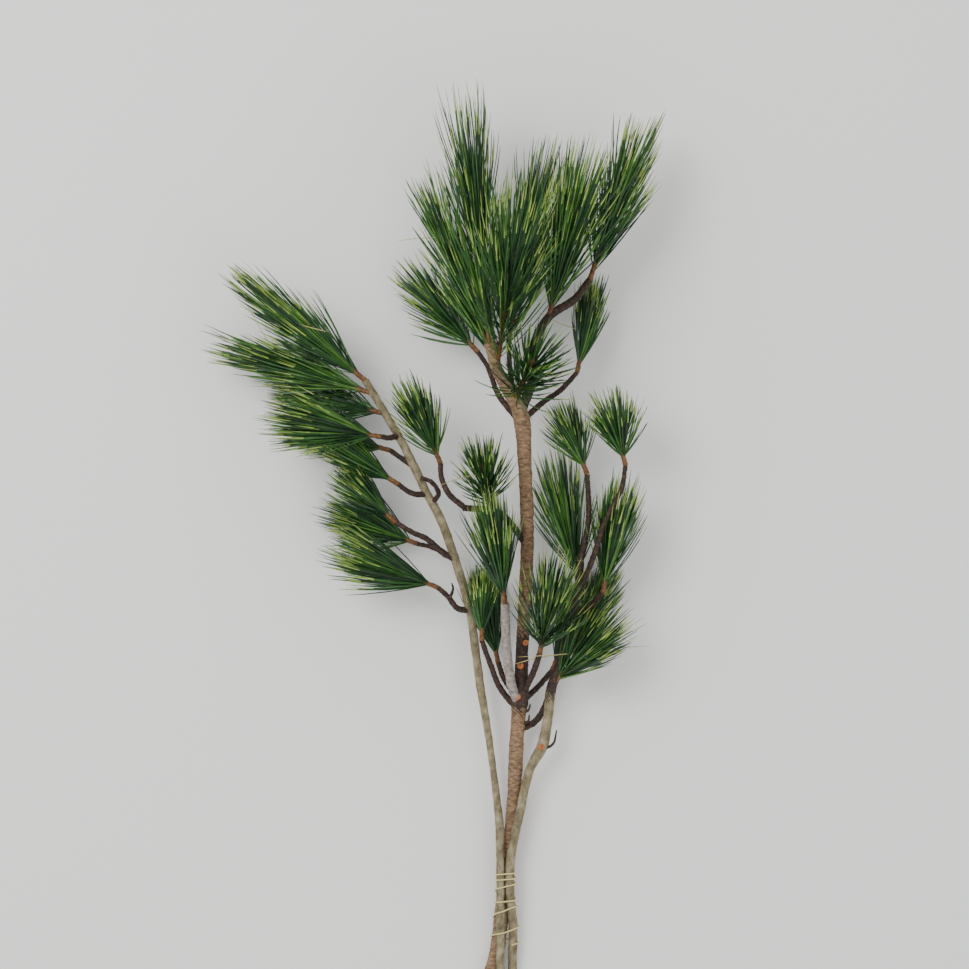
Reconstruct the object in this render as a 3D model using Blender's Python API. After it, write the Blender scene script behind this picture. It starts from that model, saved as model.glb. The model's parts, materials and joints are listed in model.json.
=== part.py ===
"""A bunch of three cut black pine branches, tied near the cut ends and lying flat.

The bunch lies along +Y with its cut ends towards -Y, and +Z points up from what it lies on.
Every size below is in millimetres, and is turned to metres where a mesh is made.
"""

import math
import random

import bmesh
import bpy
import numpy as np
from mathutils import Matrix, Vector

MM = 0.001

# Clearance between neighbouring solids, and the middle of the footprint that becomes the origin
GAP = 0.3
FOOTPRINT_MIDDLE = (-67.3, 405.6)

# Needles: a tuft's needles are toothed blades round its shoot, and each tooth stands for a small spray
BLADE_THICKNESS = 1.3
BLADES_ROUND_A_SHOOT = 5
TEETH_ON_A_BLADE = 4
SMALL_TUFT_NEEDLE = 65.0
NOTCH_DEPTH = 0.5
SHORTER_TRIES = (1.0, 0.85, 0.7, 0.55)
REACH_PAST_SHOOT = 0.75
LOWEST_POINT = 0.4
SHOOT_ROOT_RADIUS = 3.0
SHOOT_TIP_RADIUS = 2.0
FIRST_NEEDLE = 6.0
LAST_NEEDLE_SHARE = 0.94

# Twine: one thin string wound round all three stems
TWINE_RADIUS = 0.6
TWINE_TURN_HEIGHTS = (102, 97, 92, 77, 71, 50, 36)
TWINE_POINTS_PER_TURN = 16
TWINE_SLACK = 0.9

STEM_STEP = 22.0
BOUGH_STEP = 13.0
SIDES_10, SIDES_8, SIDES_6, SIDES_4 = 3, 2, 1, 0

# Stems, from the cut end to the tip: x, y, height of the axis, radius
STEMS = {
    "stem_middle": [(-12, 0, 8.4, 6.6), (-12, 12, 8.4, 6.6), (-7, 30, 8.4, 6.6), (-2, 72, 8.4, 6.6),
                    (4, 126, 9, 6.6), (8, 162, 11, 6.6), (10, 207, 17, 6.5), (12, 240, 23, 6.5),
                    (14, 262, 28, 7.8), (15, 282, 31, 6.3), (16, 315, 37, 5.7), (20, 400, 50, 6.0),
                    (18, 470, 60, 6.2), (14, 518, 67, 7.4), (0, 544, 73, 5.6), (-8, 560, 76, 5.3),
                    (-14, 582, 80, 5.0)],
    "stem_left": [(-4, 4, 16.5, 3.7), (-4, 16, 18.4, 3.7), (-4, 54, 19.5, 3.7), (-4, 99, 19.2, 3.7),
                  (-4.4, 130, 18, 3.8), (-5.5, 153, 18, 3.8), (-11, 198, 19, 3.1), (-16, 234, 22, 3.4),
                  (-22, 270, 25, 3.8), (-28, 315, 30, 3.9), (-32, 342, 33, 3.9), (-45, 387, 38, 4.0),
                  (-58, 423, 42, 3.9), (-72, 450, 45, 3.8), (-94, 495, 50, 3.7), (-126, 549, 56, 3.4)],
    "stem_right": [(7, 6, 9, 4.0), (7, 18, 9, 4.0), (7.5, 54, 12.5, 4.0), (4.8, 81, 18.8, 4.0),
                   (4.8, 108, 20.4, 4.0), (8, 130, 20.6, 3.9), (14, 158, 20.8, 3.9), (22, 194, 22, 4.1),
                   (34, 218, 25, 5.2), (39, 243, 30, 4.4), (42, 270, 35, 4.6), (51, 297, 41, 4.2),
                   (61, 333, 48, 3.8), (66, 364, 56, 3.5), (68, 387, 62, 3.2)],
}

# Boughs: the limbs they are cut to fit, then their axis from inside the first of those limbs
BOUGHS = {
    "bough_top_left": (["stem_middle"], [(11, 514, 66, 2.8), (-6, 536, 55, 2.4), (-15, 560, 50, 2.2),
                                         (-24, 574, 46, 2.0)]),
    "bough_top_back": (["stem_middle"], [(9, 530, 69, 2.6), (5, 556, 50, 2.3), (3, 585, 44, 2.1)]),
    "bough_top_right": (["stem_middle"], [(14, 520, 67, 4.6), (25, 551, 72, 4.2), (26, 580, 76, 4.0),
                                          (39, 605, 76, 3.8), (62, 621, 72, 3.4), (76, 639, 69, 3.0)]),
    "bough_top_right_low": (["stem_middle"], [(15, 512, 66, 2.8), (34, 529, 54, 2.5), (50, 540, 50, 2.3),
                                              (65, 556, 48, 2.0)]),
    "bough_inner": (["stem_middle"], [(20, 400, 50, 3.3), (4, 421, 60, 3.0), (-9, 431, 66, 2.9),
                                      (-38, 434, 71, 2.7)]),
    "bough_inner_end": (["bough_inner"], [(-36, 434, 71, 2.6), (-50, 446, 72, 2.5), (-57, 461, 71, 2.3),
                                          (-58, 474, 69, 2.2)]),
    "bough_grey": (["stem_middle"], [(12, 256, 27, 4.2), (5, 278, 43, 4.1), (1, 315, 60, 4.0),
                                     (0, 348, 73, 3.8)]),
    "bough_low_left": (["stem_middle"], [(12, 250, 25, 2.9), (-4, 270, 32, 2.6), (-13, 292, 41, 2.4),
                                         (-21, 314, 46, 2.2)]),
    "bough_low_back": (["stem_middle"], [(13, 260, 28, 2.8), (0, 277, 18, 2.5), (-6, 293, 16, 2.3)]),
    "bough_low_front": (["stem_middle"], [(15, 264, 29, 3.0), (25, 284, 45, 2.8), (31, 302, 58, 2.6)]),
    "bough_low_right": (["stem_middle"], [(14, 256, 27, 2.8), (31, 272, 20, 2.5), (43, 286, 18, 2.3)]),
    "bough_hook": (["stem_middle"], [(12, 232, 21, 3.2), (27, 239, 18, 3.0), (36, 252, 16, 2.8),
                                     (44, 275, 15, 2.6), (55, 297, 16, 2.4), (67, 313, 18, 2.2)]),
    "bough_left_upper": (["stem_left"], [(-96, 499, 51, 2.6), (-104, 497, 58, 2.4), (-112, 498, 62, 2.2)]),
    "bough_left_back": (["stem_left"], [(-82, 471, 47, 2.6), (-94, 479, 39, 2.3), (-104, 486, 34, 2.1)]),
    "bough_left_middle": (["stem_left"], [(-70, 446, 44, 2.7), (-84, 447, 51, 2.4), (-96, 455, 55, 2.2)]),
    "bough_left_curl": (["stem_left"], [(-66, 438, 43, 2.3), (-60, 447, 52, 2.1), (-66, 457, 57, 1.9),
                                        (-76, 461, 58, 1.7)]),
    "bough_left_low": (["stem_left"], [(-45, 387, 38, 3.0), (-57, 394, 40, 2.8), (-71, 406, 44, 2.5),
                                       (-84, 412, 46, 2.3), (-99, 421, 48, 2.1)]),
    "bough_left_fork": (["bough_left_low"], [(-58, 395, 40, 2.2), (-69, 399, 32, 2.0), (-79, 401, 28, 1.9)]),
    "bough_left_lowest": (["stem_left"], [(-32, 341, 33, 2.8), (-43, 343, 36, 2.6), (-52, 354, 40, 2.3),
                                          (-61, 362, 42, 2.1)]),
    "bough_right_middle": (["stem_right"], [(61, 336, 48, 3.0), (76, 345, 52, 2.7), (88, 357, 55, 2.4)]),
    "bough_right_upper_left": (["stem_right"], [(67, 383, 61, 2.8), (75, 423, 60, 2.4), (74, 464, 60, 2.1)]),
    "bough_right_upper": (["stem_right"], [(64, 352, 53, 2.8), (78, 387, 70, 2.5), (91, 425, 76, 2.3),
                                           (104, 450, 76, 2.1), (108, 472, 74, 2.0)]),
}

# Tufts: the limb that carries the shoot, where the shoot leaves that limb's axis, the shoot's tip,
# the needles' length, and how wide they stand off the shoot at its foot and at its tip, in degrees
TUFTS = {
    "tuft_leader": ("stem_middle", (-14, 582, 80), (-28, 720, 88), 106, 32, 12),
    "tuft_crown_left": ("stem_middle", (-9, 564, 77), (-55, 677, 56), 78, 28, 12),
    "tuft_crown_front": ("stem_middle", (-7, 562, 77), (6, 655, 136), 97, 46, 20),
    "tuft_crown_back": ("bough_top_back", (3, 585, 44), (24, 691, 42), 90, 30, 14),
    "tuft_crown_inner": ("bough_top_right", (39, 605, 76), (57, 682, 102), 98, 32, 14),
    "tuft_crown_right": ("bough_top_right", (76, 639, 69), (105, 722, 70), 82, 32, 16),
    "tuft_crown_left_low": ("bough_top_left", (-24, 574, 46), (-62, 616, 34), 62, 40, 16),
    "tuft_crown_right_low": ("bough_top_right_low", (65, 556, 48), (73, 594, 42), 60, 24, 10),
    "tuft_whorl_front": ("stem_middle", (8, 530, 70), (22, 560, 118), 60, 58, 30),
    "tuft_left_upper": ("stem_left", (-126, 549, 56), (-191, 601, 66), 88, 26, 9),
    "tuft_left_tip": ("stem_left", (-119, 537, 55), (-201, 562, 44), 84, 24, 9),
    "tuft_left_under": ("stem_left", (-108, 519, 53), (-165, 531, 26), 68, 28, 12),
    "tuft_left_middle": ("bough_left_upper", (-112, 498, 62), (-148, 504, 72), 82, 32, 12),
    "tuft_left_back": ("bough_left_back", (-104, 486, 34), (-138, 495, 24), 74, 28, 12),
    "tuft_left_middle_low": ("bough_left_middle", (-96, 455, 55), (-116, 468, 58), 66, 32, 12),
    "tuft_left_low_upper": ("bough_left_low", (-99, 421, 48), (-120, 441, 54), 54, 28, 12),
    "tuft_left_low": ("bough_left_fork", (-79, 401, 28), (-109, 412, 22), 72, 32, 13),
    "tuft_left_lowest": ("bough_left_lowest", (-61, 362, 42), (-91, 374, 46), 84, 32, 12),
    "tuft_left_inner": ("bough_inner_end", (-58, 474, 69), (-73, 509, 76), 54, 40, 16),
    "tuft_inner_up": ("bough_inner", (-14, 432, 67), (-19, 464, 94), 50, 46, 20),
    "tuft_middle_shoot": ("bough_grey", (0, 348, 73), (-7, 391, 84), 74, 28, 10),
    "tuft_middle_back": ("bough_low_back", (-6, 293, 16), (-12, 320, 14), 72, 22, 8),
    "tuft_low_left": ("bough_low_left", (-21, 314, 46), (-21, 342, 50), 44, 26, 10),
    "tuft_low_front": ("bough_low_front", (31, 302, 58), (38, 342, 92), 76, 40, 18),
    "tuft_low_right": ("stem_right", (43, 274, 36), (70, 303, 52), 66, 38, 18),
    "tuft_low_behind": ("bough_low_right", (43, 286, 18), (55, 315, 16), 66, 28, 12),
    "tuft_right_low": ("bough_hook", (67, 313, 18), (80, 342, 16), 52, 32, 14),
    "tuft_right_middle": ("bough_right_middle", (88, 357, 55), (96, 400, 58), 74, 28, 12),
    "tuft_right_inner": ("stem_right", (66, 366, 56), (55, 423, 44), 76, 34, 14),
    "tuft_right_upper_left": ("bough_right_upper_left", (74, 464, 60), (62, 495, 60), 46, 44, 18),
    "tuft_right_upper": ("bough_right_upper", (108, 472, 74), (101, 500, 78), 50, 54, 26),
}

# Short stubs of cut side twigs, fused to their stem: stem, foot on its axis, tip, radius
STUBS = [
    ("stem_left", (-4.3, 124, 18), (-11, 127, 20), 2.6),
    ("stem_right", (34, 216, 25), (43, 220, 26), 1.8),
]

COLOURS = {
    "bark_middle": (0.30, 0.21, 0.14),
    "bark_side": (0.27, 0.24, 0.17),
    "bark_dark": (0.07, 0.045, 0.035),
    "bark_grey": (0.36, 0.33, 0.30),
    "needle": (0.045, 0.12, 0.035),
    "twine": (0.72, 0.68, 0.38),
}


def clear_scene():
    for thing in list(bpy.data.objects):
        bpy.data.objects.remove(thing, do_unlink=True)


def new_collection(name):
    collection = bpy.data.collections.new(name)
    bpy.context.scene.collection.children.link(collection)
    return collection


def new_material(name, colour, roughness):
    material = bpy.data.materials.new(name)
    material.use_nodes = True
    shader = material.node_tree.nodes["Principled BSDF"]
    shader.inputs["Base Color"].default_value = (*colour, 1.0)
    shader.inputs["Roughness"].default_value = roughness
    shader.inputs["Metallic"].default_value = 0.0
    return material


def placed(point):
    """A point in millimetres, as metres from the middle of the footprint."""
    x, y, z = point
    return Vector((x - FOOTPRINT_MIDDLE[0], y - FOOTPRINT_MIDDLE[1], z)) * MM


def smooth_route(stations, step):
    """A smooth line of (x, y, z, radius) through the stations, with a point about every step."""
    stations = np.array(stations, float)
    ends = np.vstack([2 * stations[0] - stations[1], stations, 2 * stations[-1] - stations[-2]])
    route = [stations[0]]
    for before, start, finish, after in zip(ends, ends[1:], ends[2:], ends[3:]):
        pieces = max(1, round(np.linalg.norm(finish[:3] - start[:3]) / step))
        for share in (np.arange(pieces) + 1) / pieces:
            square, cube = share ** 2, share ** 3
            route.append(0.5 * (2 * start + (finish - before) * share
                                + (2 * before - 5 * start + 4 * finish - after) * square
                                + (3 * start - before - 3 * finish + after) * cube))
    return np.array(route)


def stem_route(stations):
    """A stem starts with a short straight run, so that its cut end is a true flat face."""
    return np.vstack([np.array(stations[0], float), smooth_route(stations[1:], STEM_STEP)])


def curve_to_solid(name, curve, stand):
    """The closed mesh of a curve, its caps welded on."""
    holder = bpy.data.objects.new(name + "_curve", curve)
    bpy.context.scene.collection.objects.link(holder)
    bpy.context.view_layer.update()
    mesh = bpy.data.meshes.new_from_object(holder.evaluated_get(bpy.context.evaluated_depsgraph_get()))
    weld = bmesh.new()
    weld.from_mesh(mesh)
    bmesh.ops.remove_doubles(weld, verts=weld.verts, dist=0.00001)
    weld.to_mesh(mesh)
    weld.free()
    mesh.transform(stand)
    bpy.data.objects.remove(holder, do_unlink=True)
    return bpy.data.objects.new(name, mesh)


def tube(name, route, resolution, extra=0.0):
    """A closed round tube along the route; extra makes it that much thicker and longer."""
    route = np.array(route, float)
    if extra:
        route[:, 3] += extra
        for end, inner in ((0, 1), (-1, -2)):
            outward = route[end, :3] - route[inner, :3]
            route[end, :3] += outward / np.linalg.norm(outward) * extra
    curve = bpy.data.curves.new(name, "CURVE")
    curve.dimensions = "3D"
    curve.bevel_depth = MM
    curve.bevel_resolution = resolution
    curve.use_fill_caps = True
    spline = curve.splines.new("POLY")
    spline.points.add(len(route) - 1)
    for point, (x, y, z, radius) in zip(spline.points, route):
        point.co = (*placed((x, y, z)), 1.0)
        point.radius = radius
    return curve_to_solid(name, curve, Matrix.Identity(4))


def finish_solid(solid, collection, material):
    collection.objects.link(solid)
    solid.data.materials.clear()
    solid.data.materials.append(material)
    solid.data.shade_smooth()
    solid.data.set_sharp_from_angle(angle=math.radians(40))


def apply_boolean(solid, others, operation, solver):
    """Joins the other solids to this one, or cuts them out of it, then removes them."""
    group = new_collection("joining")
    for other in others:
        group.objects.link(other)
    modifier = solid.modifiers.new("join", "BOOLEAN")
    modifier.operation = operation
    modifier.operand_type = "COLLECTION"
    modifier.collection = group
    modifier.solver = solver
    bpy.context.scene.collection.objects.link(solid)
    bpy.context.view_layer.update()
    joined = bpy.data.meshes.new_from_object(solid.evaluated_get(bpy.context.evaluated_depsgraph_get()))
    solid.modifiers.clear()
    solid.data = joined
    bpy.context.scene.collection.objects.unlink(solid)
    for other in others:
        bpy.data.objects.remove(other, do_unlink=True)
    bpy.data.collections.remove(group)


def distance_to_route(point, route):
    """The least distance from a point to the surface round a route."""
    starts, ends = route[:-1, :3], route[1:, :3]
    spans = ends - starts
    share = np.clip(((point - starts) * spans).sum(1) / (spans ** 2).sum(1), 0, 1)
    nearest = starts + spans * share[:, None]
    radius = route[:-1, 3] + (route[1:, 3] - route[:-1, 3]) * share
    return (np.linalg.norm(point - nearest, axis=1) - radius).min()


def distance_to_axis(point, axis):
    start, finish = axis
    span = finish - start
    share = np.clip((point - start) @ span / (span @ span), 0, 1)
    return np.linalg.norm(point - start - span * share)


def reach_of(tuft):
    """The line that a tuft's needles crowd round: its shoot, carried on past the shoot's tip."""
    limb, foot, tip, length, wide, narrow = tuft
    foot, tip = np.array(foot, float), np.array(tip, float)
    forward = (tip - foot) / np.linalg.norm(tip - foot)
    return foot, tip + forward * length * REACH_PAST_SHOOT


def keeps_to_space(point, name, reaches, limb_routes):
    """Whether a point of a blade is nearer its own tuft's line than any other, and clear of limbs."""
    near = distance_to_axis(point, reaches[name]) + BLADE_THICKNESS + GAP
    for other, reach in reaches.items():
        if other == name:
            continue
        if distance_to_axis(point, reach) < near:
            return False
        shoot = [np.array(end, float) for end in TUFTS[other][1:3]]
        if distance_to_axis(point, shoot) < SHOOT_ROOT_RADIUS + BLADE_THICKNESS:
            return False
    return all(distance_to_route(point, route) > BLADE_THICKNESS for route in limb_routes)


def blade_outline(name, frame, reaches, limb_routes, chance):
    """The blade's outline, as distances along the shoot and out from it.

    Teeth follow one seeded rule: they lean out widely at the shoot's foot and closely at its tip.
    A tooth that would leave the tuft's own space is made shorter, or left out.
    """
    limb, foot, tip, length, wide, narrow = TUFTS[name]
    forward, outward, first, run = frame
    foot = np.array(foot, float)

    def in_space(along, out):
        return foot + forward * along + outward * out

    def above_floor(along, out):
        """The distance out, held back where the tooth would go under what the bunch lies on."""
        if outward[2] > -0.05:
            return out
        return min(out, (foot[2] + forward[2] * along - LOWEST_POINT - BLADE_THICKNESS / 2) / -outward[2])

    count = TEETH_ON_A_BLADE - (length < SMALL_TUFT_NEEDLE)
    teeth = []
    for number in range(count):
        share = number / (count - 1)
        root = first + (run * LAST_NEEDLE_SHARE - first) * share
        lean = math.radians(wide + (narrow - wide) * share) * chance.uniform(0.9, 1.1)
        reach = length * chance.uniform(0.86, 1.03)
        for shorter in SHORTER_TRIES:
            along = root + math.cos(lean) * reach * shorter
            out = above_floor(along, math.sin(lean) * reach * shorter)
            line = [in_space(root + (along - root) * part, out * part) for part in (0.2, 0.4, 0.6, 0.8, 1.0)]
            if out > 1 and all(keeps_to_space(point, name, reaches, limb_routes) for point in line):
                teeth.append((root, along, out))
                break
    if not teeth:
        return []
    outline = [(teeth[0][0], 0.0)]
    for number, (root, along, out) in enumerate(teeth):
        outline.append((along, out))
        if number + 1 < len(teeth):
            later, later_along, later_out = teeth[number + 1]
            for depth in (NOTCH_DEPTH, NOTCH_DEPTH / 2, 0.1):
                notch = ((root + later) / 2 * (1 - depth) + (along + later_along) / 2 * depth,
                         (out + later_out) / 2 * depth)
                if keeps_to_space(in_space(*notch), name, reaches, limb_routes):
                    break
            outline.append(notch)
    outline.append((min(teeth[-1][0] + run * 0.1, run * 0.98), 0.0))
    return outline


def blade_solid(outline, foot, frame):
    """A flat blade: its outline filled, and given its thickness."""
    forward, outward, first, run = frame
    curve = bpy.data.curves.new("blade", "CURVE")
    curve.dimensions = "2D"
    curve.fill_mode = "BOTH"
    curve.extrude = BLADE_THICKNESS / 2 * MM
    spline = curve.splines.new("POLY")
    spline.points.add(len(outline) - 1)
    spline.use_cyclic_u = True
    for point, (along, out) in zip(spline.points, outline):
        point.co = (along * MM, out * MM, 0.0, 1.0)
    forward, outward = Vector(forward), Vector(outward)
    stand = Matrix((forward, outward, forward.cross(outward))).transposed().to_4x4()
    stand.translation = placed(foot)
    return curve_to_solid("blade", curve, stand)


def sides_of(limb):
    """The setting that rounds a limb: ten sides on the middle stem, eight on the others, six on boughs."""
    if limb == "stem_middle":
        return SIDES_10
    return SIDES_8 if limb in STEMS else SIDES_6


def make_stems(part, materials):
    """The three stems, each whole from its cut end to its tip, with the stubs on them."""
    routes = {}
    for name, stations in STEMS.items():
        route = stem_route(stations)
        routes[name] = route
        stem = tube(name, route, sides_of(name))
        stubs = [tube("stub", [(*foot, radius), (*tip, radius * 0.85)], SIDES_6)
                 for owner, foot, tip, radius in STUBS if owner == name]
        if stubs:
            apply_boolean(stem, stubs, "UNION", "EXACT")
        finish_solid(stem, part, materials["bark_middle" if name == "stem_middle" else "bark_side"])
    return routes


def make_boughs(part, materials, routes):
    """Each bough is one tapering limb, cut to the round of the limb that carries it."""
    for name, (carriers, stations) in BOUGHS.items():
        route = smooth_route(stations, BOUGH_STEP)
        bough = tube(name, route, SIDES_6)
        cutters = [tube("cutter", routes[carrier], sides_of(carrier), extra=GAP * 1.4)
                   for carrier in carriers]
        apply_boolean(bough, cutters, "DIFFERENCE", "EXACT")
        finish_solid(bough, part, materials["bark_grey" if name == "bough_grey" else "bark_dark"])
        routes[name] = route


def make_tufts(part, materials, routes):
    """Each tuft is one shoot with its needles fused on, in a space of its own."""
    reaches = {name: reach_of(tuft) for name, tuft in TUFTS.items()}
    limb_routes = list(routes.values())
    for name, (limb, foot, tip, length, wide, narrow) in TUFTS.items():
        shoot = tube(name, [(*foot, SHOOT_ROOT_RADIUS), (*tip, SHOOT_TIP_RADIUS)], SIDES_6)
        cutter = tube("cutter", routes[limb], sides_of(limb), extra=GAP * 1.4)
        apply_boolean(shoot, [cutter], "DIFFERENCE", "EXACT")
        span = Vector(tip) - Vector(foot)
        forward = span.normalized()
        side = forward.cross(Vector((0, 0, 1))).normalized()
        up = side.cross(forward)
        chance = random.Random(name)
        first = FIRST_NEEDLE
        while distance_to_route(np.array(Vector(foot) + forward * first), routes[limb]) < SHOOT_ROOT_RADIUS:
            first += 1.0
        count = BLADES_ROUND_A_SHOOT - (length < SMALL_TUFT_NEEDLE)
        blades = []
        for number in range(count):
            turn = 2 * math.pi * (number + chance.uniform(0.3, 0.7)) / count
            outward = side * math.cos(turn) + up * math.sin(turn)
            frame = (np.array(forward), np.array(outward), first, span.length)
            outline = blade_outline(name, frame, reaches, limb_routes, chance)
            if outline:
                blades.append(blade_solid(outline, foot, frame))
        print(name, len(blades), "blades")
        apply_boolean(shoot, blades, "UNION", "MANIFOLD")
        finish_solid(shoot, part, materials["needle"])


def bundle_edge(discs, middle, angle):
    """How far the edge of the stretched string lies from the middle of the bundle, at an angle."""
    best = math.inf
    for lean in np.radians(np.arange(-80, 81, 4)):
        direction = np.array((math.cos(angle + lean), math.sin(angle + lean)))
        support = max((centre - middle) @ direction + radius for centre, radius in discs)
        best = min(best, support / math.cos(lean))
    return best


def make_twine(part, materials, routes):
    """One string, wound six times round the three stems where they lie together."""
    turns = len(TWINE_TURN_HEIGHTS) - 1
    steps = turns * TWINE_POINTS_PER_TURN
    route = []
    for number in range(steps + 1):
        turned = number / TWINE_POINTS_PER_TURN
        height = np.interp(turned, range(turns + 1), TWINE_TURN_HEIGHTS)
        discs = []
        for stem in STEMS:
            line = routes[stem]
            x, z, radius = (np.interp(height, line[:, 1], line[:, column]) for column in (0, 2, 3))
            discs.append((np.array((x, z)), radius))
        middle = sum(centre for centre, radius in discs) / len(discs)
        angle = 2 * math.pi * turned + 0.6
        reach = bundle_edge(discs, middle, angle) + TWINE_RADIUS + TWINE_SLACK
        route.append((middle[0] + reach * math.cos(angle), height,
                      middle[1] + reach * math.sin(angle), TWINE_RADIUS))
    finish_solid(tube("twine", route, SIDES_4), part, materials["twine"])


def main():
    clear_scene()
    part = new_collection("tied_pine_branches")
    materials = {name: new_material(name, colour, 0.6 if name == "needle" else 0.9)
                 for name, colour in COLOURS.items()}
    routes = make_stems(part, materials)
    make_twine(part, materials, routes)
    make_boughs(part, materials, routes)
    make_tufts(part, materials, routes)


main()
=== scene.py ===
# A tied bunch of cut black pine branches, dressed over its solids
import json
import math

import bpy
import numpy as np
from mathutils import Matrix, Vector


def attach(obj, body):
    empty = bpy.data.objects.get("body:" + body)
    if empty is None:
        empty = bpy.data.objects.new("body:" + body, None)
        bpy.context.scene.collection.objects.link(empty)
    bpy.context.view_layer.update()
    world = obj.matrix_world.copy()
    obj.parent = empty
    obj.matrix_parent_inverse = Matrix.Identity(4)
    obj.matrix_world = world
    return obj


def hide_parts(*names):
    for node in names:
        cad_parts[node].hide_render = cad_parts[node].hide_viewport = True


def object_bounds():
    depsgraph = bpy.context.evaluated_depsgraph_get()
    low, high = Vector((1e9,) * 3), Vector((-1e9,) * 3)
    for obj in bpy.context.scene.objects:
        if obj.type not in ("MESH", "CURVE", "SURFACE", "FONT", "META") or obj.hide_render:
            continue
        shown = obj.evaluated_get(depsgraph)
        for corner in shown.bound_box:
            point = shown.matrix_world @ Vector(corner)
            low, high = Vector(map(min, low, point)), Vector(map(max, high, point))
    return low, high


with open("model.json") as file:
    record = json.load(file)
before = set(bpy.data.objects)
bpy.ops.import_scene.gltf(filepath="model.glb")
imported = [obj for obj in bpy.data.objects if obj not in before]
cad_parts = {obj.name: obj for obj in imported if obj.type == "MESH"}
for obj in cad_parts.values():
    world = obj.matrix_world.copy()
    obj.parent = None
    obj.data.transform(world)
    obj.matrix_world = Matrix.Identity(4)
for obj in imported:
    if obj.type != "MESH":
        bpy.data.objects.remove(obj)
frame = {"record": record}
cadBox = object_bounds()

mm = 0.001

# The drawing is in millimetres. Its place comes from the cut end of the middle stem.
cutEndInDrawing = np.array((-12, 0, 8.4))
cutEndInFrame = np.array(next(m["pos_m"] for m in frame["record"]["mounts"] if m["name"] == "cut_end"))
drawingShift = cutEndInFrame / mm - cutEndInDrawing

# Stems from the cut end to the tip: x, y, height of the axis, radius
stems = {
    "stem_middle": [(-12, 0, 8.4, 6.6), (-12, 12, 8.4, 6.6), (-7, 30, 8.4, 6.6), (-2, 72, 8.4, 6.6),
                    (4, 126, 9, 6.6), (8, 162, 11, 6.6), (10, 207, 17, 6.5), (12, 240, 23, 6.5),
                    (14, 262, 28, 7.8), (15, 282, 31, 6.3), (16, 315, 37, 5.7), (20, 400, 50, 6.0),
                    (18, 470, 60, 6.2), (14, 518, 67, 7.4), (0, 544, 73, 5.6), (-8, 560, 76, 5.3),
                    (-14, 582, 80, 5.0)],
    "stem_left": [(-4, 4, 16.5, 3.7), (-4, 16, 18.4, 3.7), (-4, 54, 19.5, 3.7), (-4, 99, 19.2, 3.7),
                  (-4.4, 130, 18, 3.8), (-5.5, 153, 18, 3.8), (-11, 198, 19, 3.1), (-16, 234, 22, 3.4),
                  (-22, 270, 25, 3.8), (-28, 315, 30, 3.9), (-32, 342, 33, 3.9), (-45, 387, 38, 4.0),
                  (-58, 423, 42, 3.9), (-72, 450, 45, 3.8), (-94, 495, 50, 3.7), (-126, 549, 56, 3.4)],
    "stem_right": [(7, 6, 9, 4.0), (7, 18, 9, 4.0), (7.5, 54, 12.5, 4.0), (4.8, 81, 18.8, 4.0),
                   (4.8, 108, 20.4, 4.0), (8, 130, 20.6, 3.9), (14, 158, 20.8, 3.9), (22, 194, 22, 4.1),
                   (34, 218, 25, 5.2), (39, 243, 30, 4.4), (42, 270, 35, 4.6), (51, 297, 41, 4.2),
                   (61, 333, 48, 3.8), (66, 364, 56, 3.5), (68, 387, 62, 3.2)],
}

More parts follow.
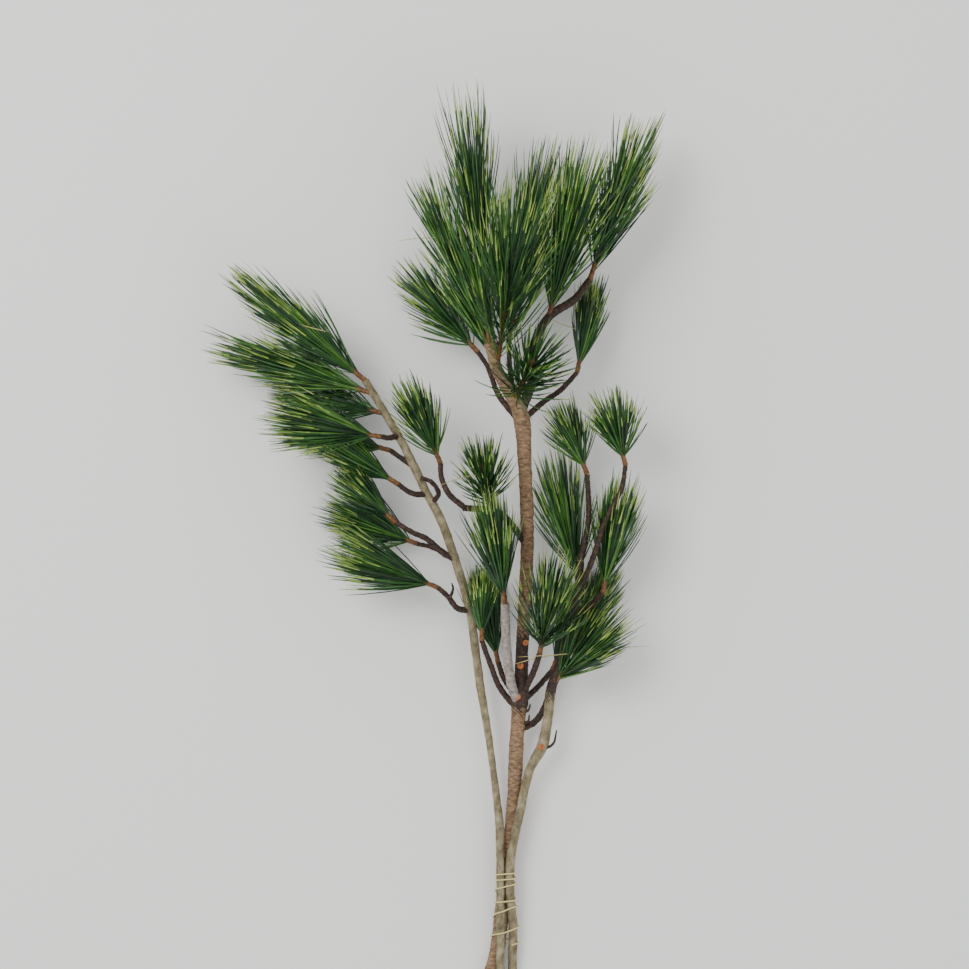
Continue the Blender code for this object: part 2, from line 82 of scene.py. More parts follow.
# Boughs: the limb they grow from, then their axis from inside it
boughs = {
    "bough_top_left": (["stem_middle"], [(11, 514, 66, 2.8), (-6, 536, 55, 2.4), (-15, 560, 50, 2.2),
                                         (-24, 574, 46, 2.0)]),
    "bough_top_back": (["stem_middle"], [(9, 530, 69, 2.6), (5, 556, 50, 2.3), (3, 585, 44, 2.1)]),
    "bough_top_right": (["stem_middle"], [(14, 520, 67, 4.6), (25, 551, 72, 4.2), (26, 580, 76, 4.0),
                                          (39, 605, 76, 3.8), (62, 621, 72, 3.4), (76, 639, 69, 3.0)]),
    "bough_top_right_low": (["stem_middle"], [(15, 512, 66, 2.8), (34, 529, 54, 2.5), (50, 540, 50, 2.3),
                                              (65, 556, 48, 2.0)]),
    "bough_inner": (["stem_middle"], [(20, 400, 50, 3.3), (4, 421, 60, 3.0), (-9, 431, 66, 2.9),
                                      (-38, 434, 71, 2.7)]),
    "bough_inner_end": (["bough_inner"], [(-36, 434, 71, 2.6), (-50, 446, 72, 2.5), (-57, 461, 71, 2.3),
                                          (-58, 474, 69, 2.2)]),
    "bough_grey": (["stem_middle"], [(12, 256, 27, 4.2), (5, 278, 43, 4.1), (1, 315, 60, 4.0),
                                     (0, 348, 73, 3.8)]),
    "bough_low_left": (["stem_middle"], [(12, 250, 25, 2.9), (-4, 270, 32, 2.6), (-13, 292, 41, 2.4),
                                         (-21, 314, 46, 2.2)]),
    "bough_low_back": (["stem_middle"], [(13, 260, 28, 2.8), (0, 277, 18, 2.5), (-6, 293, 16, 2.3)]),
    "bough_low_front": (["stem_middle"], [(15, 264, 29, 3.0), (25, 284, 45, 2.8), (31, 302, 58, 2.6)]),
    "bough_low_right": (["stem_middle"], [(14, 256, 27, 2.8), (31, 272, 20, 2.5), (43, 286, 18, 2.3)]),
    "bough_hook": (["stem_middle"], [(12, 232, 21, 3.2), (27, 239, 18, 3.0), (36, 252, 16, 2.8),
                                     (44, 275, 15, 2.6), (55, 297, 16, 2.4), (67, 313, 18, 2.2)]),
    "bough_left_upper": (["stem_left"], [(-96, 499, 51, 2.6), (-104, 497, 58, 2.4), (-112, 498, 62, 2.2)]),
    "bough_left_back": (["stem_left"], [(-82, 471, 47, 2.6), (-94, 479, 39, 2.3), (-104, 486, 34, 2.1)]),
    "bough_left_middle": (["stem_left"], [(-70, 446, 44, 2.7), (-84, 447, 51, 2.4), (-96, 455, 55, 2.2)]),
    "bough_left_curl": (["stem_left"], [(-66, 438, 43, 2.3), (-60, 447, 52, 2.1), (-66, 457, 57, 1.9),
                                        (-76, 461, 58, 1.7)]),
    "bough_left_low": (["stem_left"], [(-45, 387, 38, 3.0), (-57, 394, 40, 2.8), (-71, 406, 44, 2.5),
                                       (-84, 412, 46, 2.3), (-99, 421, 48, 2.1)]),
    "bough_left_fork": (["bough_left_low"], [(-58, 395, 40, 2.2), (-69, 399, 32, 2.0), (-79, 401, 28, 1.9)]),
    "bough_left_lowest": (["stem_left"], [(-32, 341, 33, 2.8), (-43, 343, 36, 2.6), (-52, 354, 40, 2.3),
                                          (-61, 362, 42, 2.1)]),
    "bough_right_middle": (["stem_right"], [(61, 336, 48, 3.0), (76, 345, 52, 2.7), (88, 357, 55, 2.4)]),
    "bough_right_upper_left": (["stem_right"], [(67, 383, 61, 2.8), (75, 423, 60, 2.4), (74, 464, 60, 2.1)]),
    "bough_right_upper": (["stem_right"], [(64, 352, 53, 2.8), (78, 387, 70, 2.5), (91, 425, 76, 2.3),
                                           (104, 450, 76, 2.1), (108, 472, 74, 2.0)]),
}

# Tufts: limb, foot, tip, needle length, and the needles' lean at the foot and at the tip
tufts = {
    "tuft_leader": ("stem_middle", (-14, 582, 80), (-28, 720, 88), 106, 32, 12),
    "tuft_crown_left": ("stem_middle", (-9, 564, 77), (-55, 677, 56), 78, 28, 12),
    "tuft_crown_front": ("stem_middle", (-7, 562, 77), (6, 655, 136), 97, 46, 20),
    "tuft_crown_back": ("bough_top_back", (3, 585, 44), (24, 691, 42), 90, 30, 14),
    "tuft_crown_inner": ("bough_top_right", (39, 605, 76), (57, 682, 102), 98, 32, 14),
    "tuft_crown_right": ("bough_top_right", (76, 639, 69), (105, 722, 70), 82, 32, 16),
    "tuft_crown_left_low": ("bough_top_left", (-24, 574, 46), (-62, 616, 34), 62, 40, 16),
    "tuft_crown_right_low": ("bough_top_right_low", (65, 556, 48), (73, 594, 42), 60, 24, 10),
    "tuft_whorl_front": ("stem_middle", (8, 530, 70), (22, 560, 118), 60, 58, 30),
    "tuft_left_upper": ("stem_left", (-126, 549, 56), (-191, 601, 66), 88, 26, 9),
    "tuft_left_tip": ("stem_left", (-119, 537, 55), (-201, 562, 44), 84, 24, 9),
    "tuft_left_under": ("stem_left", (-108, 519, 53), (-165, 531, 26), 68, 28, 12),
    "tuft_left_middle": ("bough_left_upper", (-112, 498, 62), (-148, 504, 72), 82, 32, 12),
    "tuft_left_back": ("bough_left_back", (-104, 486, 34), (-138, 495, 24), 74, 28, 12),
    "tuft_left_middle_low": ("bough_left_middle", (-96, 455, 55), (-116, 468, 58), 66, 32, 12),
    "tuft_left_low_upper": ("bough_left_low", (-99, 421, 48), (-120, 441, 54), 54, 28, 12),
    "tuft_left_low": ("bough_left_fork", (-79, 401, 28), (-109, 412, 22), 72, 32, 13),
    "tuft_left_lowest": ("bough_left_lowest", (-61, 362, 42), (-91, 374, 46), 84, 32, 12),
    "tuft_left_inner": ("bough_inner_end", (-58, 474, 69), (-73, 509, 76), 54, 40, 16),
    "tuft_inner_up": ("bough_inner", (-14, 432, 67), (-19, 464, 94), 50, 46, 20),
    "tuft_middle_shoot": ("bough_grey", (0, 348, 73), (-7, 391, 84), 74, 28, 10),
    "tuft_middle_back": ("bough_low_back", (-6, 293, 16), (-12, 320, 14), 72, 22, 8),
    "tuft_low_left": ("bough_low_left", (-21, 314, 46), (-21, 342, 50), 44, 26, 10),
    "tuft_low_front": ("bough_low_front", (31, 302, 58), (38, 342, 92), 76, 40, 18),
    "tuft_low_right": ("stem_right", (43, 274, 36), (70, 303, 52), 66, 38, 18),
    "tuft_low_behind": ("bough_low_right", (43, 286, 18), (55, 315, 16), 66, 28, 12),
    "tuft_right_low": ("bough_hook", (67, 313, 18), (80, 342, 16), 52, 32, 14),
    "tuft_right_middle": ("bough_right_middle", (88, 357, 55), (96, 400, 58), 74, 28, 12),
    "tuft_right_inner": ("stem_right", (66, 366, 56), (55, 423, 44), 76, 34, 14),
    "tuft_right_upper_left": ("bough_right_upper_left", (74, 464, 60), (62, 495, 60), 46, 44, 18),
    "tuft_right_upper": ("bough_right_upper", (108, 472, 74), (101, 500, 78), 50, 54, 26),
}

# What a user would change on each kind of piece
stemLook = {"sides": 30, "step": 1.3, "cutEndRings": 10, "middleRidge": 0.45, "middleLump": 0.8,
            "sideRidge": 0.12, "sideLump": 0.55, "ridgeSpacing": 4.6}
boughLook = {"sides": 16, "step": 0.9, "baseSpacing": 3.4, "baseHeight": 0.5}
shootLook = {"sides": 12, "step": 0.9, "rootRadius": 2.3, "tipRadius": 1.7, "budLength": 13.0, "budRadius": 2.7}
needleLook = {"pairs": 118, "fullLength": 90.0, "width": 1.35, "thickness": 0.75, "bend": 12.0,
              "overlap": 9.0, "brightTips": 0.45, "lowest": 0.5, "past": 8.0}
twineLook = {"radius": 0.6, "slack": 0.9, "turnHeights": (102, 97, 92, 77, 71, 50, 36), "pointsPerTurn": 48,
             "plyLength": 3.2}
strayLook = {"count": 16, "width": 0.8}

goldenAngle = math.pi * (3 - math.sqrt(5))


def toLinear(hexValue):
    channels = [int(hexValue[i:i + 2], 16) / 255 for i in (1, 3, 5)]
    return [c / 12.92 if c <= 0.04045 else ((c + 0.055) / 1.055) ** 2.4 for c in channels] + [1.0]


def addNode(tree, kind, settings=None, links=None):
    node = tree.nodes.new(kind)
    for key, value in (settings or {}).items():
        if key in node.inputs:
            node.inputs[key].default_value = value
        else:
            setattr(node, key, value)
    for key, source in (links or {}).items():
        tree.links.new(source, node.inputs[key])
    return node


def naturalMaterial(name, colours, roughness, patchMm, grainMm, reliefMm, squeeze=1.0):
    # patches of three close colours, broken up by a fine grain that also roughens the surface
    material = bpy.data.materials.new(name)
    material.use_nodes = True
    tree = material.node_tree
    shader = tree.nodes["Principled BSDF"]
    place = addNode(tree, "ShaderNodeTexCoord")
    stretch = addNode(tree, "ShaderNodeMapping", {"Scale": (1.0, squeeze, 1.0)},
                      {"Vector": place.outputs["Object"]})
    patches = addNode(tree, "ShaderNodeTexNoise", {"Scale": 1000 / patchMm, "Detail": 5.0, "Roughness": 0.65},
                      {"Vector": stretch.outputs["Vector"]})
    ramp = addNode(tree, "ShaderNodeValToRGB", {}, {"Fac": patches.outputs["Fac"]})
    ramp.color_ramp.elements[0].position = 0.3
    ramp.color_ramp.elements[1].position = 0.7
    ramp.color_ramp.elements[0].color = toLinear(colours[0])
    ramp.color_ramp.elements[1].color = toLinear(colours[2])
    ramp.color_ramp.elements.new(0.5).color = toLinear(colours[1])
    grain = addNode(tree, "ShaderNodeTexNoise", {"Scale": 1000 / grainMm, "Detail": 3.0},
                    {"Vector": stretch.outputs["Vector"]})
    relief = addNode(tree, "ShaderNodeBump", {"Strength": 0.6, "Distance": reliefMm * mm},
                     {"Height": grain.outputs["Fac"]})
    tree.links.new(ramp.outputs["Color"], shader.inputs["Base Color"])
    tree.links.new(relief.outputs["Normal"], shader.inputs["Normal"])
    shader.inputs["Roughness"].default_value = roughness
    shader.inputs["IOR"].default_value = 1.45
    return material


print("materials")
# dry outer bark, matt, light brown with darker cross cracks
youngBark = naturalMaterial("young pine bark, ridged",
                            ("#4d3a2b", "#84694f", "#a98c6d"), 0.9, 5.0, 0.8, 0.35, 2.4)
# thinner bark with a grey-green film of algae
sideBark = naturalMaterial("side stem bark, smooth", ("#514a35", "#7f7559", "#a59b80"), 0.88, 7.0, 0.8, 0.25, 0.7)
# resin-soaked bark at the whorls and on the twigs, nearly black, with brown scales
resinBark = naturalMaterial("resinous twig bark, scaly", ("#17100d", "#33241c", "#5a4130"), 0.72, 3.0, 0.6, 0.4)
# weathered scaly bark, pale grey
greyBark = naturalMaterial("weathered scaly bark", ("#6c625c", "#958b84", "#b9b0a8"), 0.9, 3.5, 0.6, 0.4)
# this year's shoots, orange-brown and a little waxy
shootSkin = naturalMaterial("young shoot skin, waxy", ("#3c2415", "#6a4424", "#8f6a3a"), 0.6, 2.5, 0.5, 0.2)
# bud scales, red-brown and papery
budScales = naturalMaterial("bud scales, papery", ("#4a2419", "#7a4331", "#a0705a"), 0.7, 1.5, 0.4, 0.2)
# needles in four greens, each of three close tones, waxy, with the greens dealt out by pair
deepNeedle = naturalMaterial("needle wax, deep green", ("#13291a", "#1d3d20", "#2a5029"), 0.42, 14.0, 1.0, 0.05)
middleNeedle = naturalMaterial("needle wax, mid green", ("#1f3f1c", "#2f5a26", "#41702f"), 0.42, 14.0, 1.0, 0.05)
freshNeedle = naturalMaterial("needle wax, fresh green", ("#33591f", "#4c7a2a", "#64903a"), 0.42, 14.0, 1.0, 0.05)
brightTip = naturalMaterial("needle tip, yellow green", ("#6d8a35", "#93ad4e", "#b4c56e"), 0.45, 14.0, 1.0, 0.05)
dryNeedle = naturalMaterial("dry needle, straw", ("#8a7c45", "#b4a868", "#cfc48c"), 0.6, 14.0, 1.0, 0.05)
# dry straw string, fibrous
strawString = naturalMaterial("straw string, twisted", ("#b3a45c", "#d9cf8d", "#ece5b4"), 0.8, 1.2, 0.3, 0.15)
# freshly cut sapwood, pale
cutWood = naturalMaterial("cut sapwood, sawn", ("#a9824f", "#c9a676", "#e0c596"), 0.75, 2.0, 0.5, 0.1)
# torn scars where side twigs came off, orange with resin
scarWood = naturalMaterial("resin scar, orange", ("#7c3f1c", "#b06431", "#cf8a4c"), 0.5, 2.0, 0.5, 0.2)


def newPiece(name, corners, faces, materials, indices=None, smooth=True):
    mesh = bpy.data.meshes.new(name)
    corners = (np.asarray(corners, float) + drawingShift) * mm
    mesh.from_pydata(corners.tolist(), [], faces)
    for material in materials:
        mesh.materials.append(material)
    if indices is not None:
        mesh.polygons.foreach_set("material_index", np.asarray(indices, np.int32))
    mesh.polygons.foreach_set("use_smooth", np.full(len(mesh.polygons), smooth))
    mesh.update()
    piece = bpy.data.objects.new(name, mesh)
    bpy.context.scene.collection.objects.link(piece)
    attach(piece, "root")
    return piece


def smoothRoute(stations, step):
    # a smooth line of x, y, z, radius through the stations
    stations = np.array(stations, float)
    ends = np.vstack([2 * stations[0] - stations[1], stations, 2 * stations[-1] - stations[-2]])
    route = [stations[0]]
    for before, start, finish, after in zip(ends, ends[1:], ends[2:], ends[3:]):
        pieces = max(1, round(np.linalg.norm(finish[:3] - start[:3]) / step))
        for t in (np.arange(pieces) + 1) / pieces:
            route.append(0.5 * (2 * start + (finish - before) * t
                                + (2 * before - 5 * start + 4 * finish - after) * t ** 2
                                + (3 * start - before - 3 * finish + after) * t ** 3))
    return np.array(route)


def softNoise(along, around, seed, cells):
    # smooth bumps on a tube: along runs on, around closes on itself
    table = np.random.default_rng(seed).random((997, cells))
    a, b = along % 997, around % cells
    row, column = np.floor(a).astype(int), np.floor(b).astype(int)
    u, v = a - row, b - column
    u, v = u * u * (3 - 2 * u), v * v * (3 - 2 * v)
    nextRow, nextColumn = (row + 1) % 997, (column + 1) % cells
    return ((table[row, column] * (1 - v) + table[row, nextColumn] * v) * (1 - u)
            + (table[nextRow, column] * (1 - v) + table[nextRow, nextColumn] * v) * u)


def barkTube(route, sides, relief):
    # rings of corners round a route, pushed in and out by the relief, with both ends closed
    centres, radii = route[:, :3], route[:, 3]
    headings = np.gradient(centres, axis=0)
    headings /= np.linalg.norm(headings, axis=1)[:, None]
    side = np.cross(headings[0], (0.02, 0.1, 1.0))
    travelled = np.concatenate([[0], np.cumsum(np.linalg.norm(np.diff(centres, axis=0), axis=1))])
    turns = np.arange(sides) * 2 * math.pi / sides
    rings = []
    for index, heading in enumerate(headings):
        side = side - heading * (side @ heading)
        side /= np.linalg.norm(side)
        up = np.cross(heading, side)
        reach = radii[index] + relief(travelled[index] + 0 * turns, turns)
        rings.append(centres[index] + side * (np.cos(turns) * reach)[:, None] + up * (np.sin(turns) * reach)[:, None])
    corners = np.vstack(rings)
    faces = []
    for ring in range(len(route) - 1):
        for k in range(sides):
            a, b = ring * sides + k, ring * sides + (k + 1) % sides
            faces.append((a, b, b + sides, a + sides))
    last = (len(route) - 1) * sides
    caps = [tuple(range(sides - 1, -1, -1)), tuple(range(last, last + sides))]
    return corners, faces + caps, len(faces)


def join(shapes):
    corners, faces, indices, base = [], [], [], 0
    for shapeCorners, shapeFaces, shapeIndices in shapes:
        corners.append(shapeCorners)
        faces += [tuple(corner + base for corner in face) for face in shapeFaces]
        indices += list(shapeIndices)
        base += len(shapeCorners)
    return np.vstack(corners), faces, indices


def ridgedBark(seed, ridge, lump):
    # cross ridges a few millimetres apart, broken by softer lumps
    def relief(along, around):
        share = around / (2 * math.pi)
        wander = softNoise(along / 9, share * 5, seed, 5) * 4
        ridges = np.abs(np.sin(math.pi * along / stemLook["ridgeSpacing"] + wander)) ** 0.35
        lumps = softNoise(along / 5, share * 9, seed + 1, 9) - 0.5
        fine = softNoise(along / 1.6, share * 22, seed + 2, 22) - 0.5
        return ridge * (ridges - 0.8) + lump * lumps + 0.3 * lump * fine
    return relief


def scalyBark(seed, spacing, height):
    # the stubs that old needles leave, set in a slanting net
    def relief(along, around):
        net = np.sin(2 * math.pi * along / spacing + 3 * around) * np.sin(math.pi * along / spacing - 4 * around)
        lumps = softNoise(along / 2.2, around / (2 * math.pi) * 7, seed, 7) - 0.5
        return height * (np.maximum(net, -0.2) + lumps)
    return relief


print("stems")
routes = {}
barkOfStem = {"stem_middle": youngBark, "stem_left": sideBark, "stem_right": sideBark}
# between these heights a stem is dark with resin: the middle one at its lower whorl, the right one
# from above its knot to its tip, and the left one nowhere
resinHeights = {"stem_middle": (250, 322), "stem_right": (262, 400), "stem_left": (0, 0)}
for number, (name, stations) in enumerate(stems.items()):
    # the cut end is a straight run, so that its cut is square
    start = np.linspace(stations[0], stations[1], stemLook["cutEndRings"])[:-1]
    route = np.vstack([start, smoothRoute(stations[1:], stemLook["step"])])
    routes[name] = route
    kind = "middle" if name == "stem_middle" else "side"
    relief = ridgedBark(number * 7, stemLook[kind + "Ridge"], stemLook[kind + "Lump"])
    corners, faces, sideCount = barkTube(route, stemLook["sides"], relief)
    ringHeights = np.repeat(route[:-1, 1], stemLook["sides"])
    low, high = resinHeights[name]
    wave = 5 * np.sin(np.arange(sideCount) * 2.39)
    indices = ((ringHeights > low + wave) & (ringHeights < high + wave)).astype(int)
    indices = list(indices) + [2, 0]
    piece = newPiece(name + "_bark", corners, faces, [barkOfStem[name], resinBark, cutWood], indices)
    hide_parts(name)

print("boughs")
shapes = []
for number, (name, (carriers, stations)) in enumerate(boughs.items()):
    route = smoothRoute(stations, boughLook["step"])
    routes[name] = route
    corners, faces, sideCount = barkTube(route, boughLook["sides"],
                                         scalyBark(number, boughLook["baseSpacing"], boughLook["baseHeight"]))
    if name == "bough_grey":
        greyPiece = newPiece("grey_bough_bark", corners, faces, [greyBark])
        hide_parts(name)
    else:
        shapes.append((corners, faces, [0] * len(faces)))
# short spurs: a hooked twig on the right stem's knot, two dead ones on the middle stem and one on the
# lowest bough of the left stem
for stations in ([(36, 215, 25, 1.5), (44, 220, 27, 1.1), (47, 232, 28, 0.6)],
                 [(14, 248, 25, 1.6), (21, 250, 29, 1.2), (23, 256, 30, 0.6)],
                 [(14, 238, 23, 1.6), (21, 240, 27, 1.2), (22, 246, 28, 0.6)],
                 [(-50, 352, 40, 1.6), (-47, 360, 45, 1.1), (-48, 366, 47, 0.6)]):
    corners, faces, sideCount = barkTube(smoothRoute(stations, 0.8), 10, scalyBark(41, 3.0, 0.25))
    shapes.append((corners, faces, [0] * len(faces)))
boughPiece = newPiece("bough_bark", *join(shapes)[:2], [resinBark])
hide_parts(*[name for name in boughs if name != "bough_grey"])

print("scars")
shapes = []
for x, y, z, size, heading in ((19, 312, 43, 2.8, (0.3, 0.1, 1)), (14, 291, 38.6, 3.2, (-0.1, 0.1, 1)),
                               (11, 263, 35.4, 3.6, (-0.3, 0.2, 1)), (33, 217, 30.2, 3.0, (0, 0, 1))):
    heading = np.array(heading, float) / np.linalg.norm(heading)
    centre = np.array((x, y, z), float)
    route = np.array([[*(centre - heading * 1.6), size], [*(centre + heading * 0.2), size * 0.95],
                      [*(centre + heading * 0.6), size * 0.7], [*(centre + heading * 0.45), size * 0.3]])
    corners, faces, sideCount = barkTube(route, 16, scalyBark(5, 2.0, 0.15))
    shapes.append((corners, faces, [0] * len(faces)))
scarPiece = newPiece("twig_scars", *join(shapes)[:2], [scarWood])

print("string")
stemRoutes = [routes[name] for name in stems]


def bundleEdge(discs, middle, angle):
    best = math.inf
    for lean in np.radians(np.arange(-80, 81, 4)):
        heading = np.array((math.cos(angle + lean), math.sin(angle + lean)))
        best = min(best, max((centre - middle) @ heading + radius for centre, radius in discs) / math.cos(lean))
    return best


turns = len(twineLook["turnHeights"]) - 1
route = []
for number in range(turns * twineLook["pointsPerTurn"] + 1):
    turned = number / twineLook["pointsPerTurn"]
    height = np.interp(turned, range(turns + 1), twineLook["turnHeights"])
    discs = []
    for line in stemRoutes:
        x, z, radius = (np.interp(height, line[:, 1], line[:, column]) for column in (0, 2, 3))
        discs.append((np.array((x, z)), radius))
    middle = sum(centre for centre, radius in discs) / len(discs)
    angle = 2 * math.pi * turned + 0.6
    reach = bundleEdge(discs, middle, angle) + twineLook["radius"] + twineLook["slack"] * 0.7
    route.append((middle[0] + reach * math.cos(angle), height, middle[1] + reach * math.sin(angle),
                  twineLook["radius"]))


def plied(along, around):
    return 0.16 * np.abs(np.sin(around - math.pi * along / twineLook["plyLength"])) - 0.08


corners, faces, sideCount = barkTube(np.array(route), 10, plied)
twinePiece = newPiece("straw_string", corners, faces, [strawString])
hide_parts("twine")

print("shoots and buds")
shapes = []
for number, (name, (limb, foot, tip, length, wide, narrow)) in enumerate(tufts.items()):
    foot, tip = np.array(foot, float), np.array(tip, float)
    forward = (tip - foot) / np.linalg.norm(tip - foot)
    count = max(6, int(np.linalg.norm(tip - foot) / shootLook["step"]))
    line = np.linspace(0, 1, count)[:, None]
    radii = shootLook["rootRadius"] + (shootLook["tipRadius"] - shootLook["rootRadius"]) * line
    corners, faces, sideCount = barkTube(np.hstack([foot + (tip - foot) * line, radii]), shootLook["sides"],
                                         scalyBark(60 + number, 2.6, 0.35))
    shapes.append((corners, faces, [0] * len(faces)))
    t = np.linspace(0, 1, 14)[:, None]
    swell = shootLook["budRadius"] * (1 - t ** 2.2) ** 0.8 * (0.72 + 0.5 * t) + 0.15
    corners, faces, sideCount = barkTube(np.hstack([tip + forward * shootLook["budLength"] * t, swell]), 12,
                                         scalyBark(90 + number, 2.2, 0.22))
    shapes.append((corners, faces, [1] * len(faces)))
corners, faces, indices = join(shapes)
shootPiece = newPiece("shoots_and_buds", corners, faces, [shootSkin, budScales], indices)

print("needles")
reaches = {}
for name, (limb, foot, tip, length, wide, narrow) in tufts.items():
    foot, tip = np.array(foot, float), np.array(tip, float)
    reaches[name] = (foot, tip + (tip - foot) / np.linalg.norm(tip - foot) * length * 0.75)
reachStarts = np.array([reach[0] for reach in reaches.values()])
reachEnds = np.array([reach[1] for reach in reaches.values()])
limbStarts = np.vstack([route[:-6:6] for route in routes.values()])
limbEnds = np.vstack([route[6::6][:len(route[:-6:6])] for route in routes.values()])
boxLow, boxHigh = (np.array([float(v) for v in corner]) / mm - drawingShift for corner in cadBox)


def distances(points, starts, ends):
    spans = ends - starts
    offsets = points[:, None] - starts[None]
    share = np.clip((offsets * spans).sum(2) / (spans ** 2).sum(1), 0, 1)
    return np.linalg.norm(offsets - spans[None] * share[:, :, None], axis=2)


ringPlaces = np.array((0.0, 0.25, 0.5, 0.76, 0.92, 1.0))
ringWidths = np.array((0.75, 1.0, 1.0, 0.85, 0.5, 0.06))


def needleRun(start, forward, outward, lean, reach, bend, drift):
    # a stiff needle that bends a little towards its shoot, as rings along a curve
    points, leanNow, last = [start], lean, 0.0
    for place in ringPlaces[1:]:
        step = (place - last) * reach[:, None]
        leanNow = lean - bend * (place + last) / 2
        heading = forward * np.cos(leanNow)[:, None] + outward * np.sin(leanNow)[:, None]
        points.append(points[-1] + heading * step)
        last = place
    run = np.stack(points, axis=1)
    return run + drift[:, None] * (ringPlaces ** 2)[None, :, None]


def needleMesh(run, rng, width, thickness):
    headings = np.gradient(run, axis=1)
    headings /= np.linalg.norm(headings, axis=2)[:, :, None] + 1e-9
    spin = rng.normal(size=(len(run), 1, 3))
    side = np.cross(headings, spin)
    side /= np.linalg.norm(side, axis=2)[:, :, None] + 1e-9
    up = np.cross(headings, side)
    half = (ringWidths * width / 2)[None, :, None]
    high = (ringWidths * thickness)[None, :, None]
    corners = np.stack([run + side * half, run - side * half, run + up * high], axis=2)
    rings = len(ringPlaces)
    faces = []
    for ring in range(rings - 1):
        for k in range(3):
            a, b = ring * 3 + k, ring * 3 + (k + 1) % 3
            faces.append((a, b, b + 3, a + 3))
    base = np.arange(len(run))[:, None, None] * rings * 3
    quads = (np.array(faces)[None] + base).reshape(-1, 4)
    last = (rings - 1) * 3
    ends = (np.array(((2, 1, 0), (last, last + 1, last + 2)))[None] + base).reshape(-1, 3)
    return corners.reshape(-1, 3), quads, ends


def growTuft(number, name):
    limb, foot, tip, length, wide, narrow = tufts[name]
    rng = np.random.default_rng(400 + number)
    foot, tip = np.array(foot, float), np.array(tip, float)
    span = tip - foot
    run = np.linalg.norm(span)
    forward = span / run
    side = np.cross(forward, (0, 0, 1))
    side /= np.linalg.norm(side)
    up = np.cross(side, forward)
    pairs = int(needleLook["pairs"] * (length / needleLook["fullLength"]) ** 0.6)
    pair = np.repeat(np.arange(pairs), 2)
    along = (pair + 0.5) / pairs
    twin = np.tile((-1, 1), pairs)
    turn = pair * goldenAngle + twin * 0.12 + rng.normal(0, 0.05, len(pair))
    lean = np.radians(wide + (narrow - wide) * along) * np.repeat(rng.uniform(0.4, 1.12, pairs), 2)
    lean = lean + twin * 0.03 + np.radians(needleLook["bend"]) * 0.35
    reach = length * np.repeat(rng.uniform(0.8, 1.02, pairs), 2) * rng.uniform(0.97, 1.0, len(pair))
    outward = side * np.cos(turn)[:, None] + up * np.sin(turn)[:, None]
    first = min(0.4, 8 / run)
    start = foot + span * (first + (0.99 - first) * along)[:, None] + outward * 1.2
    drift = rng.normal(0, length * 0.018, (len(pair), 3))
    lines = needleRun(start, forward, outward, lean, reach, np.radians(needleLook["bend"]), drift)
    lines[:, :, 2] = np.maximum(lines[:, :, 2], needleLook["lowest"])
    keep = np.ones(len(pair), bool)
    for ring in (2, 3, 5):
        points = lines[:, ring]
        away = distances(points, reachStarts, reachEnds)
        own = away[:, number].copy()
        away[:, number] = np.inf
        keep &= own < away.min(1) + needleLook["overlap"]
        limbAway = distances(points, limbStarts[:, :3], limbEnds[:, :3]) - limbStarts[None, :, 3]
        keep &= limbAway.min(1) > 0.3
        keep &= ((points > boxLow - needleLook["past"]) & (points < boxHigh + needleLook["past"])).all(1)
    lines, pair = lines[keep], pair[keep]
    corners, quads, ends = needleMesh(lines, rng, needleLook["width"], needleLook["thickness"])
    # each pair takes one green, and some of its tips are bright
    shade = rng.choice(3, size=pairs, p=(0.42, 0.40, 0.18))[pair]
    bright = rng.random(len(pair)) < needleLook["brightTips"]
    segments = (len(ringPlaces) - 1) * 3
    quadShade = np.repeat(shade[:, None], segments, axis=1)
    quadShade[:, -6:][bright] = 3
    endShade = np.stack([shade, np.where(bright, 3, shade)], axis=1)
    return corners, quads, ends, quadShade.ravel(), endShade.ravel()


groups = {
    "needles_crown": [name for name in tufts if "crown" in name or "leader" in name or "whorl" in name],
    "needles_left": [name for name in tufts if name.startswith("tuft_left")],
}
taken = {name for names in groups.values() for name in names}
groups["needles_low"] = [name for name in tufts if name not in taken]
order = list(tufts)
greens = [deepNeedle, middleNeedle, freshNeedle, brightTip]
for groupName, names in groups.items():
    allCorners, allFaces, allShades, base = [], [], [], 0
    for name in names:
        corners, quads, ends, quadShade, endShade = growTuft(order.index(name), name)
        allCorners.append(corners)
        allFaces += (quads + base).tolist() + (ends + base).tolist()
        allShades += quadShade.tolist() + endShade.tolist()
        base += len(corners)
    piece = newPiece(groupName, np.vstack(allCorners), allFaces, greens, allShades, smooth=False)
    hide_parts(*names)
    print(groupName, len(allFaces), "faces")

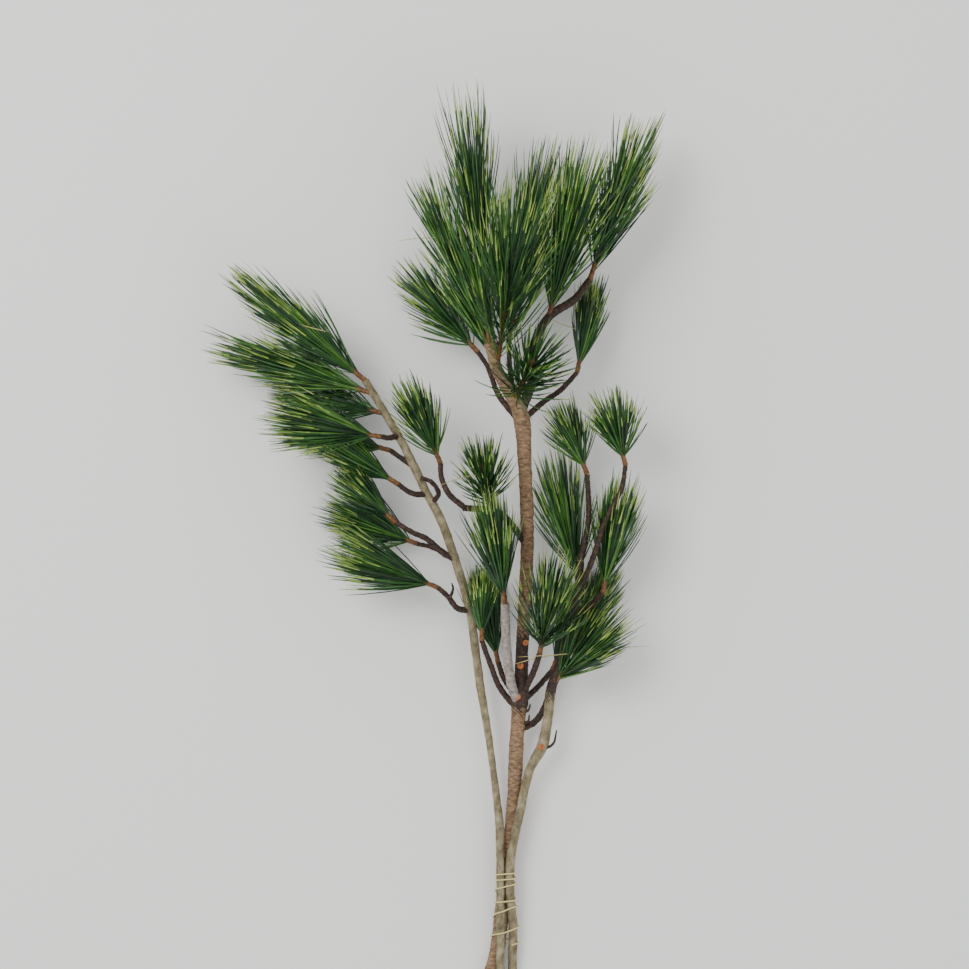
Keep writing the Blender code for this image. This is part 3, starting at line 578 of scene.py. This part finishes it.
print("stray needles")
rng = np.random.default_rng(77)
count = strayLook["count"]
feet = np.array([tufts[name][2] for name in rng.choice(order, count)], float)
forward = rng.normal(0, 1, (count, 3)) * (1, 0.6, 0.25) + (0, 0.5, 0.2)
forward /= np.linalg.norm(forward, axis=1)[:, None]
outward = np.cross(forward, (0, 0, 1.0))
outward /= np.linalg.norm(outward, axis=1)[:, None]
lines = needleRun(feet, forward, outward, np.full(count, 0.1), rng.uniform(40, 70, count),
                  rng.uniform(-0.5, 0.5, count), np.zeros((count, 3)))
lines[:, :, 2] = np.maximum(lines[:, :, 2], needleLook["lowest"])
lines = np.clip(lines, boxLow + 1, boxHigh - 1)
corners, quads, ends = needleMesh(lines, rng, strayLook["width"], 0.5)
strayPiece = newPiece("stray_dry_needles", corners, quads.tolist() + ends.tolist(), [dryNeedle], smooth=False)

print("floor, light and camera")
bpy.ops.mesh.primitive_plane_add(size=12, location=(0, 0, -0.0005))
floor = bpy.context.object
floor.name = "floor"
floorPaint = bpy.data.materials.new("floor paint, matt white")
floorPaint.use_nodes = True
floorPaint.node_tree.nodes["Principled BSDF"].inputs["Base Color"].default_value = toLinear("#f4f4f2")
floorPaint.node_tree.nodes["Principled BSDF"].inputs["Roughness"].default_value = 0.9
floor.data.materials.append(floorPaint)

world = bpy.data.worlds.new("studio")
world.use_nodes = True
world.node_tree.nodes["Background"].inputs["Color"].default_value = (1, 1, 1, 1)
world.node_tree.nodes["Background"].inputs["Strength"].default_value = 0.9
bpy.context.scene.world = world
# place, size and power
lightLook = {"key light": ((-1.2, 1.0, 2.4), 1.4, 45.0), "fill light": ((1.6, -1.2, 2.2), 2.0, 14.0)}
for name, (place, size, power) in lightLook.items():
    light = bpy.data.lights.new(name, "AREA")
    light.size, light.energy = size, power
    holder = bpy.data.objects.new(name, light)
    holder.location = place
    holder.rotation_euler = (-Vector(place)).to_track_quat("-Z", "Y").to_euler()
    bpy.context.scene.collection.objects.link(holder)

# The photograph is 969 pixels wide at 0.9 mm a pixel, and its middle looks down on this point
photoWidth = 969 * 0.9
photoMiddle = np.array((-18.5, 455.0, 60.0))
cameraAbove = 3940.0
camera = bpy.data.cameras.new("camera")
camera.sensor_width = 36.0
camera.lens = camera.sensor_width * cameraAbove / photoWidth
camera.clip_end = 50
cameraHolder = bpy.data.objects.new("camera", camera)
cameraHolder.location = Vector((photoMiddle + drawingShift + (0, 0, cameraAbove)) * mm)
bpy.context.scene.collection.objects.link(cameraHolder)
bpy.context.scene.camera = cameraHolder

bpy.context.view_layer.update()
